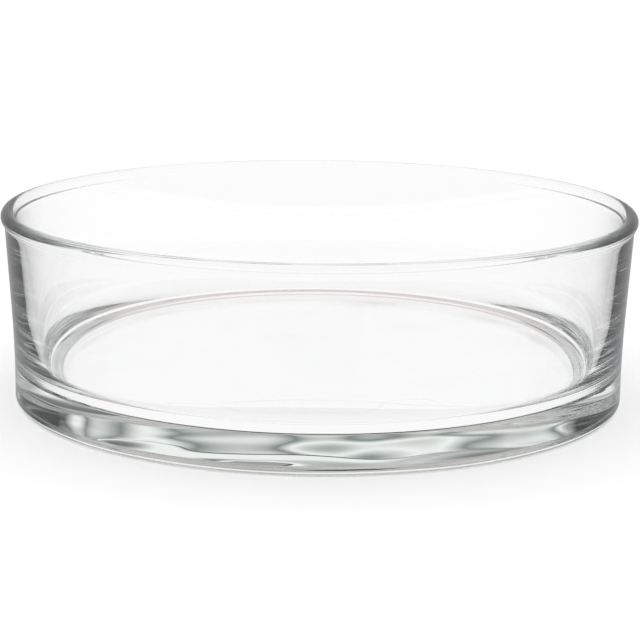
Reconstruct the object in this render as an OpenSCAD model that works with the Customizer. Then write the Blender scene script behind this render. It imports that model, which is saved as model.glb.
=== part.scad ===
// Floating candle bowl: a wide, shallow, round bowl of clear pressed glass.
// Water and floating candles go in it, and it stands on a low ring under its base.
// The bowl is one pressing of glass, so the model has one piece, turned about the Z axis.
// Millimetres and degrees. The foot ring stands on z = 0, and +Z is up.

/* [Overall] */
// Diameter across the rim bead, which is the widest place
rim_d = 230; // [190:1:290]
// Height from the foot ring to the top of the rim
bowl_h = 70; // [55:1:100]

/* [Rim] */
// Thickness of the full-round bead that ends the wall
bead_t = 5.3; // [4.5:0.1:7]
// How far the bead stands out from the outside of the wall
bead_out = 1.15; // [0.8:0.05:1.6]
// Radius of the hollow between the underside of the bead and the wall
bead_root_r = 1.2; // [0.6:0.1:2]

/* [Wall] */
// Lean of the upper part of the outside, away from upright
wall_lean = 3.6; // [2:0.1:7]
// Height at which the outside starts to bend outwards
plumb_h = 8; // [6:0.5:12]
// Height at which the bend ends and the straight, leaning outside begins
bend_h = 34; // [25:1:45]
// Lean of the inside, away from upright
inside_lean = 7.2; // [4:0.1:9]

/* [Base] */
// Thickness of the base, from the table to the floor of the bowl
base_t = 11; // [8:0.5:18]
// Radius of the corner between the floor and the inside wall
floor_corner_r = 10; // [2:0.5:12]
// Radius of the heel, where the wall turns under the base
heel_r = 2.4; // [1:0.1:4]
// Width of the foot ring, from the side of the wall to the edge of the recess
foot_w = 9.3; // [6:0.1:20]
// Depth of the recess inside the foot ring
recess_h = 0.8; // [0.4:0.1:3]
// Width of the slope round the edge of the recess
recess_slope = 3; // [1:0.5:8]

/* [Hidden] */
$fn = 180;
glass_clear = [0.86, 0.90, 0.88, 0.45];

// Rim bead: a full round, touching the rim's diameter and the top of the bowl
bead_r = bead_t / 2;
bead_c = [rim_d / 2 - bead_r, bowl_h - bead_r];

// Outside wall: a straight line that passes bead_out inside the rim, at the height of the bead's middle
function outside_x(h) = rim_d / 2 - bead_out - (bead_c[1] - h) * tan(wall_lean);
wall_top = [outside_x(bead_c[1]), bead_c[1]];
bend_end = [outside_x(bend_h), bend_h];
bend_r = (bend_h - plumb_h) / sin(wall_lean);
bend_c = [bend_end[0] + bend_r * cos(wall_lean), plumb_h];
plumb_x = bend_c[0] - bend_r;
heel_c = [plumb_x - heel_r, heel_r];

// Hollow under the bead: a circle that touches both the bead and the straight wall
wall_up = [sin(wall_lean), cos(wall_lean)];
wall_out = [cos(wall_lean), -sin(wall_lean)];
bead_depth = (wall_top[0] - bead_c[0]) * cos(wall_lean);
root_drop = sqrt(pow(bead_r + bead_root_r, 2) - pow(bead_depth + bead_root_r, 2));
root_foot = bead_c + bead_depth * wall_out - root_drop * wall_up;
root_c = root_foot + bead_root_r * wall_out;

// Inside wall: a straight, leaning line that touches the inner side of the bead
inside_out = [cos(inside_lean), -sin(inside_lean)];
inside_top = bead_c - bead_r * inside_out;
function inside_x(h) = inside_top[0] - (inside_top[1] - h) * tan(inside_lean);

// Corner round the floor: a circle in the hollow that touches the inside wall and the floor
corner_h = base_t + floor_corner_r;
corner_c = [inside_x(corner_h) - floor_corner_r / cos(inside_lean), corner_h];
corner_top = corner_c + floor_corner_r * inside_out;

// Half of the bowl's section, with straight lines between the ends of its round stretches
module section_lines() {
    polygon([
        [0, 0],
        [heel_c[0], 0],
        [plumb_x, heel_c[1]],
        [plumb_x, plumb_h],
        bend_end,
        wall_top,
        inside_top,
        corner_top,
        [corner_c[0], base_t],
        [0, base_t],
    ]);
}

// Slice of a disc from point a to point b on its edge, reaching a given depth towards its centre c
module slice(c, r, a, b, depth) {
    inward = depth / r;
    intersection() {
        translate(c) circle(r);
        polygon([a + inward * (c - a), 2 * a - c, 2 * b - c, b + inward * (c - b)]);
    }
}

// Round stretches that add glass: the heel and the rim bead
module round_outside() {
    slice(heel_c, heel_r, [heel_c[0], 0], [plumb_x, heel_c[1]], heel_r / 2);
    translate(bead_c) circle(bead_r);
}

// Round stretches that take glass away: the bend of the wall and the corner round the floor
module round_inside() {
    slice(bend_c, bend_r, [plumb_x, plumb_h], bend_end, bead_r);
    slice(corner_c, floor_corner_r, corner_top, [corner_c[0], base_t], floor_corner_r / 2);
}

// Glass that fills the corner under the bead, with a hollow face
module bead_root() {
    difference() {
        polygon([bead_c, root_foot, root_c]);
        translate(root_c) circle(bead_root_r);
    }
}

// Shallow recess in the underside, with a sloping edge
module recess() {
    ring_x = plumb_x - foot_w;
    polygon([
        [-1, -1],
        [ring_x, -1],
        [ring_x, 0],
        [ring_x - recess_slope, recess_h],
        [-1, recess_h],
    ]);
}

// Half section of the whole bowl
module bowl_section() {
    difference() {
        section_lines();
        round_inside();
        recess();
    }
    round_outside();
    bead_root();
}

module glass_bowl() {
    color(glass_clear) rotate_extrude() bowl_section();
}

glass_bowl();
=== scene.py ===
"""Looks of a floating candle bowl: one thick, clear, pressed-glass bowl on a pale table."""

import logging
from dataclasses import dataclass, field
from enum import Enum
from math import ceil, cos, hypot, pi, radians, sin, sqrt

import bpy
import numpy as np
from mathutils import Matrix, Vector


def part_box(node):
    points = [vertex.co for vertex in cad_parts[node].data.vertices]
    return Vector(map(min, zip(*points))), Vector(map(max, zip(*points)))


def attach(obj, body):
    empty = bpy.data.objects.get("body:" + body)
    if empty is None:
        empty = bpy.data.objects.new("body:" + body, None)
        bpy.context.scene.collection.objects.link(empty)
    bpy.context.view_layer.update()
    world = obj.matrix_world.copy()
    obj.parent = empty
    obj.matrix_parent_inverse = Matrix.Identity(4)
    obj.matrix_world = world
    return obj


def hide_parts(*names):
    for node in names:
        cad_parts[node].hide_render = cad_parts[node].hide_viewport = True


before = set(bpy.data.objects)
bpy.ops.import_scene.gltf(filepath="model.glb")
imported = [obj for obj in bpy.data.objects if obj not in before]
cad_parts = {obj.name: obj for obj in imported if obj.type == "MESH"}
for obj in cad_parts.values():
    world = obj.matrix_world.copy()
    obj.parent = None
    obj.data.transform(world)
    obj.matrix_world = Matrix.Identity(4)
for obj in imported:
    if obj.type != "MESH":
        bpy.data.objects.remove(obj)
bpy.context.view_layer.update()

NODE = "glass_bowl"
MM = 0.001
WHITE = "#FFFFFF"

Tree = bpy.types.NodeTree
Socket = bpy.types.NodeSocket
Colour = tuple[float, float, float, float]
Shades = tuple[tuple[float, str], ...]

log = logging.getLogger("candle_bowl")


def linear(hex_colour: str, alpha: float = 1.0) -> Colour:
    """Turn an sRGB hex colour into the linear values that a shader works in.

    Args:
        hex_colour: Six hex digits after a hash mark.
        alpha: Opacity that goes with the colour.

    Returns:
        Linear red, green and blue, and the alpha.
    """
    srgb = [int(hex_colour[i : i + 2], 16) / 255 for i in (1, 3, 5)]
    values = [c / 12.92 if c <= 0.04045 else ((c + 0.055) / 1.055) ** 2.4 for c in srgb]
    return (*values, alpha)


def add_node(
    tree: Tree,
    kind: str,
    settings: dict[str, object] | None = None,
    inputs: dict[int | str, object] | None = None,
) -> bpy.types.Node:
    """Add one shader node, with its settings, and with its inputs set or linked.

    Args:
        tree: Node tree that the node goes in.
        kind: Blender's name for the node's type.
        settings: Attributes of the node, by name.
        inputs: Values or output sockets for the node's inputs, by name or number.

    Returns:
        The new node.
    """
    node = tree.nodes.new(kind)
    for name, value in (settings or {}).items():
        setattr(node, name, value)
    for socket, value in (inputs or {}).items():
        if isinstance(value, Socket):
            tree.links.new(value, node.inputs[socket])
        else:
            node.inputs[socket].default_value = value
    return node


def calculate(tree: Tree, operation: str, *values: Socket | float) -> Socket:
    """Add one maths node.

    Args:
        tree: Node tree that the node goes in.
        operation: Blender's name for the sum.
        values: Numbers or sockets, in the node's order.

    Returns:
        The socket with the result.
    """
    inputs = dict(enumerate(values))
    return add_node(tree, "ShaderNodeMath", {"operation": operation}, inputs).outputs[0]


def empty_tree(owner: bpy.types.Material | bpy.types.World) -> Tree:
    """Give a material or world an empty node tree.

    Args:
        owner: The material or world.

    Returns:
        Its node tree, with no nodes.
    """
    owner.use_nodes = True
    owner.node_tree.nodes.clear()
    return owner.node_tree


@dataclass(frozen=True)
class PressedGlass:
    """Soda-lime glass, pressed in a mould and fire-polished.

    It is clear and glossy, and its thick base is a faint grey-green, which comes from a little iron
    in the sand and shows only where light goes through a lot of glass.
    """

    name: str = "pressed_soda_lime_glass"
    surface: str = WHITE
    depth_tint: str = "#D9E6DF"
    tint_per_metre: float = 2.0
    ior: float = 1.52
    roughness: float = 0.0

    def material(self) -> bpy.types.Material:
        """Build the material.

        Returns:
            A clear glass whose tint grows with the length of the light's way through it.
        """
        made = bpy.data.materials.new(self.name)
        tree = empty_tree(made)
        glass = add_node(
            tree,
            "ShaderNodeBsdfPrincipled",
            inputs={
                "Base Color": linear(self.surface),
                "Roughness": self.roughness,
                "IOR": self.ior,
                "Transmission Weight": 1.0,
            },
        )
        depth = add_node(
            tree,
            "ShaderNodeVolumeAbsorption",
            inputs={"Color": linear(self.depth_tint), "Density": self.tint_per_metre},
        )
        add_node(
            tree,
            "ShaderNodeOutputMaterial",
            inputs={"Surface": glass.outputs[0], "Volume": depth.outputs[0]},
        )
        return made


@dataclass(frozen=True)
class Wave:
    """One plane wave in the skin of the glass.

    Its length is in millimetres, its share is its part of the whole, and its phase is in radians.
    """

    direction: tuple[float, float, float]
    length: float
    share: float
    phase: float


@dataclass
class GlassBowl:
    """The bowl, turned from one half section, with the slight waves that pressing leaves.

    Sizes are in millimetres and degrees. The rim's diameter and the height come from the CAD node's
    box.
    The section has a point at least every longest_step millimetres and every turn_step degrees.
    """

    rim_radius: float = field(init=False)
    height: float = field(init=False)
    bead_radius: float = 2.65
    bead_out: float = 1.15
    bead_root_radius: float = 1.2
    wall_lean: float = 3.6
    plumb_height: float = 8.0
    bend_height: float = 34.0
    heel_radius: float = 2.4
    base_thickness: float = 11.0
    inside_lean: float = 7.2
    floor_corner_radius: float = 10.0
    foot_width: float = 9.3
    recess_height: float = 0.8
    recess_slope: float = 3.0
    base_waves: float = 0.12
    wall_waves: float = 0.004
    skin: tuple[Wave, ...] = (
        Wave((0.9, 0.3, 0.5), 47.0, 0.3, 0.4),
        Wave((-0.4, 0.8, 0.6), 33.0, 0.2, 1.9),
        Wave((0.2, -0.7, 1.0), 26.0, 0.15, 3.1),
        Wave((0.7, 0.7, -0.3), 61.0, 0.35, 5.0),
    )
    longest_step: float = 2.5
    turn_step: float = 5.0
    turns: int = 400
    finish: PressedGlass = PressedGlass()

    def __post_init__(self) -> None:
        """Read the rim's radius and the height from the CAD node's box."""
        low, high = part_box(NODE)
        self.rim_radius = (high[0] - low[0]) / 2 / MM
        self.height = high[2] / MM

    def shares(self, length: float, sweep: float = 0.0) -> np.ndarray:
        """Even shares of a stretch, from 0 and without 1.

        Args:
            length: Length of the stretch, in millimetres.
            sweep: How far it turns, in radians.

        Returns:
            An array of shares, as many as the steps ask for.
        """
        count = ceil(max(length / self.longest_step, abs(sweep) / radians(self.turn_step)))
        return np.linspace(0, 1, count, endpoint=False)

    def line(self, start: np.ndarray, end: np.ndarray) -> np.ndarray:
        """Points evenly along a straight stretch, without its last point.

        Args:
            start: First point, a radius and a height.
            end: Last point.

        Returns:
            An array of rows, each a radius and a height.
        """
        way = end - start
        return start + self.shares(hypot(*way))[:, None] * way

    def arc(self, centre: np.ndarray, start: np.ndarray, end: np.ndarray) -> np.ndarray:
        """Points evenly along the shorter arc between two points, without its last point.

        Each point is the centre plus the radius, turned by an even share of the arc's angle.

        Args:
            centre: Middle of the circle.
            start: First point, on the circle.
            end: Last point, on the circle.

        Returns:
            An array of rows, each a radius and a height.
        """
        first = np.arctan2(*(start - centre)[::-1])
        last = np.arctan2(*(end - centre)[::-1])
        sweep = (last - first + pi) % (2 * pi) - pi
        reach = hypot(*(start - centre))
        angle = first + sweep * self.shares(reach * abs(sweep), sweep)
        return centre + reach * np.stack([np.cos(angle), np.sin(angle)], 1)

    @staticmethod
    def slope(lean: float) -> tuple[np.ndarray, np.ndarray]:
        """Directions of a leaning wall.

        Args:
            lean: Lean away from upright, in degrees.

        Returns:
            The direction up along the wall, and the one straight out from it.
        """
        angle = radians(lean)
        return np.array([sin(angle), cos(angle)]), np.array([cos(angle), -sin(angle)])

    def bead(self) -> np.ndarray:
        """Middle of the rim bead.

        Returns:
            A radius and a height.
        """
        return np.array([self.rim_radius - self.bead_radius, self.height - self.bead_radius])

    def rim_top(self) -> np.ndarray:
        """Top of the rim bead.

        Returns:
            A radius and a height.
        """
        return self.bead() + [0, self.bead_radius]

    def outside(self) -> list[np.ndarray]:
        """Stretches of the section from the axis underneath to the top of the rim.

        They are the recess, the foot ring, the heel, the wall that bends out to its straight lean,
        the hollow under the bead and the outer side of the bead. Each arc starts where it touches
        the stretch before it.

        Returns:
            Arrays of rows, each a radius and a height in millimetres.
        """
        up, out = self.slope(self.wall_lean)
        bead = self.bead()
        wall_top = bead + [self.bead_radius - self.bead_out, 0]
        bend_end = wall_top - up * (bead[1] - self.bend_height) / up[1]
        bend_radius = (self.bend_height - self.plumb_height) / up[0]
        bend = bend_end + bend_radius * out
        plumb = bend - [bend_radius, 0]
        side = np.array([plumb[0], self.heel_radius])
        heel = side - [self.heel_radius, 0]
        sole = np.array([heel[0], 0.0])
        ring = np.array([plumb[0] - self.foot_width, 0.0])
        recess = ring + [-self.recess_slope, self.recess_height]
        centre = np.array([0.0, self.recess_height])
        depth = (wall_top - bead) @ out
        reach = self.bead_radius + self.bead_root_radius
        drop = sqrt(reach**2 - (depth + self.bead_root_radius) ** 2)
        root_foot = bead + depth * out - drop * up
        root = root_foot + self.bead_root_radius * out
        root_top = bead + self.bead_radius * (root - bead) / hypot(*(root - bead))
        return [
            self.line(centre, recess),
            self.line(recess, ring),
            self.line(ring, sole),
            self.arc(heel, sole, side),
            self.line(side, plumb),
            self.arc(bend, plumb, bend_end),
            self.line(bend_end, root_foot),
            self.arc(root, root_foot, root_top),
            self.arc(bead, root_top, self.rim_top()),
        ]

    def inside(self) -> list[np.ndarray]:
        """Stretches of the section from the top of the rim to the axis on the floor.

        They are the inner side of the bead, the inside wall, the corner and the floor.

        Returns:
            Arrays of rows, each a radius and a height in millimetres.
        """
        up, out = self.slope(self.inside_lean)
        wall_top = self.bead() - self.bead_radius * out
        corner_height = self.base_thickness + self.floor_corner_radius
        wall_x = wall_top[0] - (wall_top[1] - corner_height) * up[0] / up[1]
        corner = np.array([wall_x - self.floor_corner_radius / out[0], corner_height])
        corner_top = corner + self.floor_corner_radius * out
        floor_edge = corner - [0, self.floor_corner_radius]
        centre = np.array([0.0, self.base_thickness])
        return [
            self.arc(self.bead(), self.rim_top(), wall_top),
            self.line(wall_top, corner_top),
            self.arc(corner, corner_top, floor_edge),
            self.line(floor_edge, centre),
            centre[None],
        ]

    def waves(self, points: np.ndarray) -> np.ndarray:
        """How far the surface stands proud at each point, in millimetres.

        The sum of a few plane waves, each the sine of the point's place along one direction over
        its wavelength, times a share that depends on height. It is nothing on the foot ring, which
        stands flat, most in the recess, little from the floor up, and nothing at the top. Thick
        glass chills unevenly in the mould, and the flame that polishes the wall leaves it smooth.

        Args:
            points: An array of places, in millimetres.

        Returns:
            One height for each place.
        """
        swell = sum(
            wave.share * np.sin(points @ wave.direction * 2 * pi / wave.length + wave.phase)
            for wave in self.skin
        )
        heights = [0.0, self.recess_height, self.base_thickness, self.height]
        return swell * np.interp(points[:, 2], heights, [0.0, self.base_waves, self.wall_waves, 0.0])

    def mesh(self) -> bpy.types.Mesh:
        """Turn the section about the axis into a closed mesh.

        Each point of the section goes round a circle: x is its radius times the cosine of the
        turn, y its radius times the sine, and z its height. The two points on the axis stay single
        and close the skin with a fan of triangles. The waves then move each point along the
        section's outward direction.

        Returns:
            The mesh, in metres, smooth and with its faces outwards.
        """
        section = np.concatenate(self.outside() + self.inside())
        turn = np.linspace(0, 2 * pi, self.turns, endpoint=False)
        way = np.gradient(section, axis=0)
        outward = np.stack([way[:, 1], -way[:, 0]], 1) / np.hypot(*way.T)[:, None]
        outward[[0, -1]] = [[0, -1], [0, 1]]
        rings = section[1:-1]
        spin = np.stack([np.cos(turn), np.sin(turn), np.ones_like(turn)], 1)
        ring_points = (rings[:, [0, 0, 1]][:, None, :] * spin[None]).reshape(-1, 3)
        ring_normals = (outward[1:-1][:, [0, 0, 1]][:, None, :] * spin[None]).reshape(-1, 3)
        points = np.concatenate([ring_points, section[[0, -1]] @ [[0, 0, 0], [0, 0, 1]]])
        normals = np.concatenate([ring_normals, [[0, 0, -1], [0, 0, 1]]])
        points = points + self.waves(points)[:, None] * normals
        grid = np.arange(len(rings) * self.turns).reshape(len(rings), self.turns)
        after = np.roll(grid, -1, axis=1)
        quads = np.stack([grid[:-1], after[:-1], after[1:], grid[1:]], -1).reshape(-1, 4)
        under, over = grid.size, grid.size + 1
        first = np.stack([np.full(self.turns, under), after[0], grid[0]], 1)
        last = np.stack([grid[-1], after[-1], np.full(self.turns, over)], 1)
        made = bpy.data.meshes.new(NODE)
        made.from_pydata((points * MM).tolist(), [], quads.tolist() + first.tolist() + last.tolist())
        made.shade_smooth()
        made.update()
        return made

    def build(self) -> bpy.types.Object:
        """Make the bowl's object, dress it, hang it on the root body and hide the CAD node.

        Returns:
            The new object.
        """
        bowl = bpy.data.objects.new("pressed_glass_bowl", self.mesh())
        bpy.context.collection.objects.link(bowl)
        bowl.data.materials.append(self.finish.material())
        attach(bowl, "root")
        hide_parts(NODE)
        return bowl


class Ray(Enum):
    """What the studio asks about a ray, by the name of the Light Path output."""

    EYE = "Is Camera Ray"
    GLOSS = "Is Glossy Ray"
    GLASS = "Is Transmission Ray"
    MIRRORED = "Is Reflection Ray"
    TURNS = "Glossy Depth"


@dataclass(frozen=True)
class Studio:
    """White table and backdrop in a room of soft greys, with even light from all round.

    Light that comes straight through the glass shows the white table and backdrop. Light that
    the glass mirrors comes from the grey room, and so does light that has turned more than once
    inside it. Three panels of light stand round the bowl with dark gaps between them. That gives
    clear glass its dark edges, and its base light and dark patches, from every side.

    Amounts in the table's shades are metres from the bowl's axis, as spots_from is. Amounts in
    the room's and the low shades, and the panels' height, are how far up a direction points, from
    0 for level to 1 for straight up. The table's gap under the foot ring is in millimetres.
    """

    table_half: float = 6.0
    table_gap: float = 0.2
    table_colour: str = "#F4F4F4"
    table_lift: float = 0.25
    soft_light: float = 0.9
    mirrored: str = "#BCBCBE"
    some_turns: float = 1.5
    many_turns: float = 8.5
    panels: int = 3
    panel_shades: Shades = ((0.15, "#2C2E2E"), (0.28, WHITE))
    panel_height: float = 0.55
    cloud_detail: float = 1.0
    patch_scale: float = 4.0
    patch_share: float = 0.5
    room_shades: Shades = (
        (0.14, "#A5A5A7"),
        (0.22, "#F2F2F2"),
        (0.29, "#868B8A"),
        (0.34, WHITE),
        (0.42, "#90968F"),
        (0.47, WHITE),
        (0.54, "#9EA2A2"),
        (0.6, "#D6CBCB"),
    )
    low_shades: Shades = ((0.22, "#484848"), (0.3, WHITE))
    table_shades: Shades = ((0.15, WHITE), (0.16, "#6C6C6C"))
    # Painted light and shade: spots on the table from this radius out, for what the glass throws
    # there.
    spots_from: float = 0.108
    spot_scale: float = 28.0
    painted_spot_shades: Shades = ((0.42, "#6E7070"), (0.55, WHITE))

    @staticmethod
    def shades(tree: Tree, amount: Socket, stops: Shades) -> Socket:
        """Shade from colour to colour along an amount.

        Args:
            tree: Node tree to add to.
            amount: Socket that the shades follow.
            stops: Pairs of an amount and the hex colour that it gets, in rising order.

        Returns:
            A socket with the colour.
        """
        ramp = add_node(tree, "ShaderNodeValToRGB", inputs={0: amount})
        elements = ramp.color_ramp.elements
        for _ in stops[2:]:
            elements.new(1.0)
        for element, (position, colour) in zip(elements, stops):
            element.position = position
            element.color = linear(colour)
        return ramp.outputs[0]

    @staticmethod
    def blend(
        tree: Tree, kind: str, share: Socket, first: Socket | Colour, second: Socket | Colour
    ) -> Socket:
        """Blend two colours.

        Args:
            tree: Node tree to add to.
            kind: Blender's name for the kind of blend.
            share: Socket that says how much of the blend shows.
            first: Colour or socket that the blend starts from.
            second: Colour or socket that it goes to.

        Returns:
            A socket with the colour.
        """
        inputs = {0: share, 1: first, 2: second}
        return add_node(tree, "ShaderNodeMixRGB", {"blend_type": kind}, inputs).outputs[0]

    def clouds(self, tree: Tree, place: Socket, scale: float) -> Socket:
        """Soft noise.

        Args:
            tree: Node tree to add to.
            place: Socket with the place or direction that the noise follows.
            scale: How many clouds go in one unit of it.

        Returns:
            A socket with an amount from 0 to 1.
        """
        inputs = {"Vector": place, "Scale": scale, "Detail": self.cloud_detail}
        return add_node(tree, "ShaderNodeTexNoise", inputs=inputs).outputs[0]

    def by_glass(self, tree: Tree, path: bpy.types.Node, room: Socket) -> Socket:
        """Colour that the glass shows: white straight through, and greys where it reflects.

        Args:
            tree: Node tree to add to.
            path: Its Light Path node.
            room: Socket with the grey that light has after a few turns inside the glass.

        Returns:
            A socket with the colour.
        """
        turned = calculate(tree, "GREATER_THAN", path.outputs[Ray.TURNS.value], self.some_turns)
        through = self.blend(tree, "MIX", turned, linear(WHITE), room)
        mirrored = path.outputs[Ray.MIRRORED.value]
        return self.blend(tree, "MIX", mirrored, through, linear(self.mirrored))

    @staticmethod
    def glass_ray(tree: Tree, path: bpy.types.Node) -> Socket:
        """Tell rays that arrive by glass or gloss from camera rays and diffuse light.

        Args:
            tree: Node tree to add to.
            path: Its Light Path node.

        Returns:
            A socket that is 1 for glossy and transmission rays.
        """
        return calculate(tree, "MAXIMUM", path.outputs[Ray.GLOSS.value], path.outputs[Ray.GLASS.value])

    def gaps(self, tree: Tree, place: Socket) -> Socket:
        """Dark between the panels, where the cosine of their number times the angle is low.

        Args:
            tree: Node tree to add to.
            place: Socket with a direction from the bowl.

        Returns:
            A socket with the colour.
        """
        axes = add_node(tree, "ShaderNodeSeparateXYZ", inputs={0: place}).outputs
        angle = calculate(tree, "ARCTAN2", axes["X"], axes["Y"])
        wave = calculate(tree, "COSINE", calculate(tree, "MULTIPLY", angle, float(self.panels)))
        return self.shades(tree, calculate(tree, "MULTIPLY_ADD", wave, 0.5, 0.5), self.panel_shades)

    def room(self, tree: Tree, path: bpy.types.Node) -> Socket:
        """Shades of the room for light that has turned inside the glass.

        The shade follows the direction's height, moved up and down by soft noise, and is dark in
        the gaps between the panels, up to their height. Light that has turned many times finds
        the low part of the room dark.

        Args:
            tree: Node tree to add to.
            path: Its Light Path node.

        Returns:
            A socket with the colour.
        """
        place = add_node(tree, "ShaderNodeTexCoord").outputs["Generated"]
        axes = add_node(tree, "ShaderNodeSeparateXYZ", inputs={0: place}).outputs
        shift = calculate(tree, "SUBTRACT", self.clouds(tree, place, self.patch_scale), 0.5)
        amount = calculate(tree, "MULTIPLY_ADD", shift, self.patch_share, axes["Z"])
        patches = self.shades(tree, amount, self.room_shades)
        late = calculate(tree, "GREATER_THAN", path.outputs[Ray.TURNS.value], self.many_turns)
        low = self.shades(tree, axes["Z"], self.low_shades)
        beside = calculate(tree, "LESS_THAN", axes["Z"], self.panel_height)
        lit = self.blend(tree, "MULTIPLY", beside, patches, self.gaps(tree, place))
        return self.blend(tree, "MULTIPLY", late, lit, low)

    def table(self) -> None:
        """Make the table, white to the eye and through the glass, with the bowl's shadow on it.

        Light that has turned inside the glass finds painted light and shade in spots round the
        bowl, for what the bowl throws on the table, and a table painted darker further out.
        """
        half = self.table_half
        corners = [(-half, -half, 0), (half, -half, 0), (half, half, 0), (-half, half, 0)]
        mesh = bpy.data.meshes.new("table")
        mesh.from_pydata(corners, [], [(0, 1, 2, 3)])
        table = bpy.data.objects.new("table", mesh)
        table.location.z = -self.table_gap * MM
        bpy.context.collection.objects.link(table)
        made = bpy.data.materials.new("pale_table")
        tree = empty_tree(made)
        path = add_node(tree, "ShaderNodeLightPath")
        place = add_node(tree, "ShaderNodeTexCoord").outputs["Object"]
        reach = add_node(tree, "ShaderNodeVectorMath", {"operation": "LENGTH"}, {0: place})
        around = self.shades(tree, reach.outputs["Value"], self.table_shades)
        # Painted light and shade in spots round the bowl, which light that has turned inside the glass
        # finds.
        painted_spots = self.shades(tree, self.clouds(tree, place, self.spot_scale), self.painted_spot_shades)
        beyond = calculate(tree, "GREATER_THAN", reach.outputs["Value"], self.spots_from)
        shade = self.by_glass(tree, path, self.blend(tree, "MULTIPLY", beyond, around, painted_spots))
        shown = add_node(tree, "ShaderNodeEmission", inputs={"Color": shade})
        cloth = add_node(tree, "ShaderNodeBsdfDiffuse", inputs={"Color": linear(self.table_colour)})
        lift = calculate(tree, "MULTIPLY", path.outputs[Ray.EYE.value], self.table_lift)
        glow = add_node(tree, "ShaderNodeEmission", inputs={"Color": linear(WHITE), "Strength": lift})
        plain = add_node(tree, "ShaderNodeAddShader", inputs={0: cloth.outputs[0], 1: glow.outputs[0]})
        parts = {0: self.glass_ray(tree, path), 1: plain.outputs[0], 2: shown.outputs[0]}
        mix = add_node(tree, "ShaderNodeMixShader", inputs=parts)
        add_node(tree, "ShaderNodeOutputMaterial", inputs={"Surface": mix.outputs[0]})
        mesh.materials.append(made)

    def surroundings(self) -> None:
        """Make the world: white to the eye and through the glass, grey where the glass reflects."""
        world = bpy.data.worlds.new("grey_room")
        bpy.context.scene.world = world
        tree = empty_tree(world)
        path = add_node(tree, "ShaderNodeLightPath")
        shade = self.by_glass(tree, path, self.room(tree, path))
        white = {"Color": linear(WHITE), "Strength": 1.0}
        backdrop = add_node(tree, "ShaderNodeBackground", inputs=white)
        shown = add_node(tree, "ShaderNodeBackground", inputs={"Color": shade})
        even = {"Color": linear(WHITE), "Strength": self.soft_light}
        soft = add_node(tree, "ShaderNodeBackground", inputs=even)
        parts = {0: self.glass_ray(tree, path), 1: soft.outputs[0], 2: shown.outputs[0]}
        first = add_node(tree, "ShaderNodeMixShader", inputs=parts)
        by_eye = {0: path.outputs[Ray.EYE.value], 1: first.outputs[0], 2: backdrop.outputs[0]}
        last = add_node(tree, "ShaderNodeMixShader", inputs=by_eye)
        add_node(tree, "ShaderNodeOutputWorld", inputs={"Surface": last.outputs[0]})

    def build(self) -> None:
        """Make the table and the surroundings."""
        self.table()
        self.surroundings()


@dataclass(frozen=True)
class Viewpoint:
    """The camera, where the photograph was taken from, in metres, degrees and millimetres."""

    place: tuple[float, float, float] = (0.0005, -0.771, 0.1986)
    pitch_down: float = 12.55
    roll: float = 0.58
    lens: float = 120.7
    film_width: float = 36.0

    def build(self) -> None:
        """Make the camera and look through it."""
        data = bpy.data.cameras.new("photo_view")
        data.lens = self.lens
        data.sensor_width = self.film_width
        camera = bpy.data.objects.new("photo_view", data)
        tilt = Matrix.Rotation(radians(90 - self.pitch_down), 4, "X")
        twist = Matrix.Rotation(radians(self.roll), 4, "Z")
        camera.matrix_world = Matrix.Translation(self.place) @ tilt @ twist
        bpy.context.collection.objects.link(camera)
        bpy.context.scene.camera = camera


@dataclass(frozen=True)
class LightPaths:
    """How often light may turn, which thick glass needs a lot of."""

    turns: int = 40
    mirrorings: int = 16

    def apply(self) -> None:
        """Set the scene's limits."""
        cycles = bpy.context.scene.cycles
        cycles.max_bounces = self.turns
        cycles.transmission_bounces = self.turns
        cycles.glossy_bounces = self.mirrorings


def main() -> None:
    """Build the camera, the studio and the bowl."""
    logging.basicConfig(level=logging.INFO, format="%(name)s: %(message)s")
    bpy.context.scene.view_settings.view_transform = "Standard"
    LightPaths().apply()
    Viewpoint().build()
    Studio().build()
    bowl = GlassBowl().build()
    log.info("%s: %d faces", bowl.name, len(bowl.data.polygons))


if __name__ == "__main__":
    main()
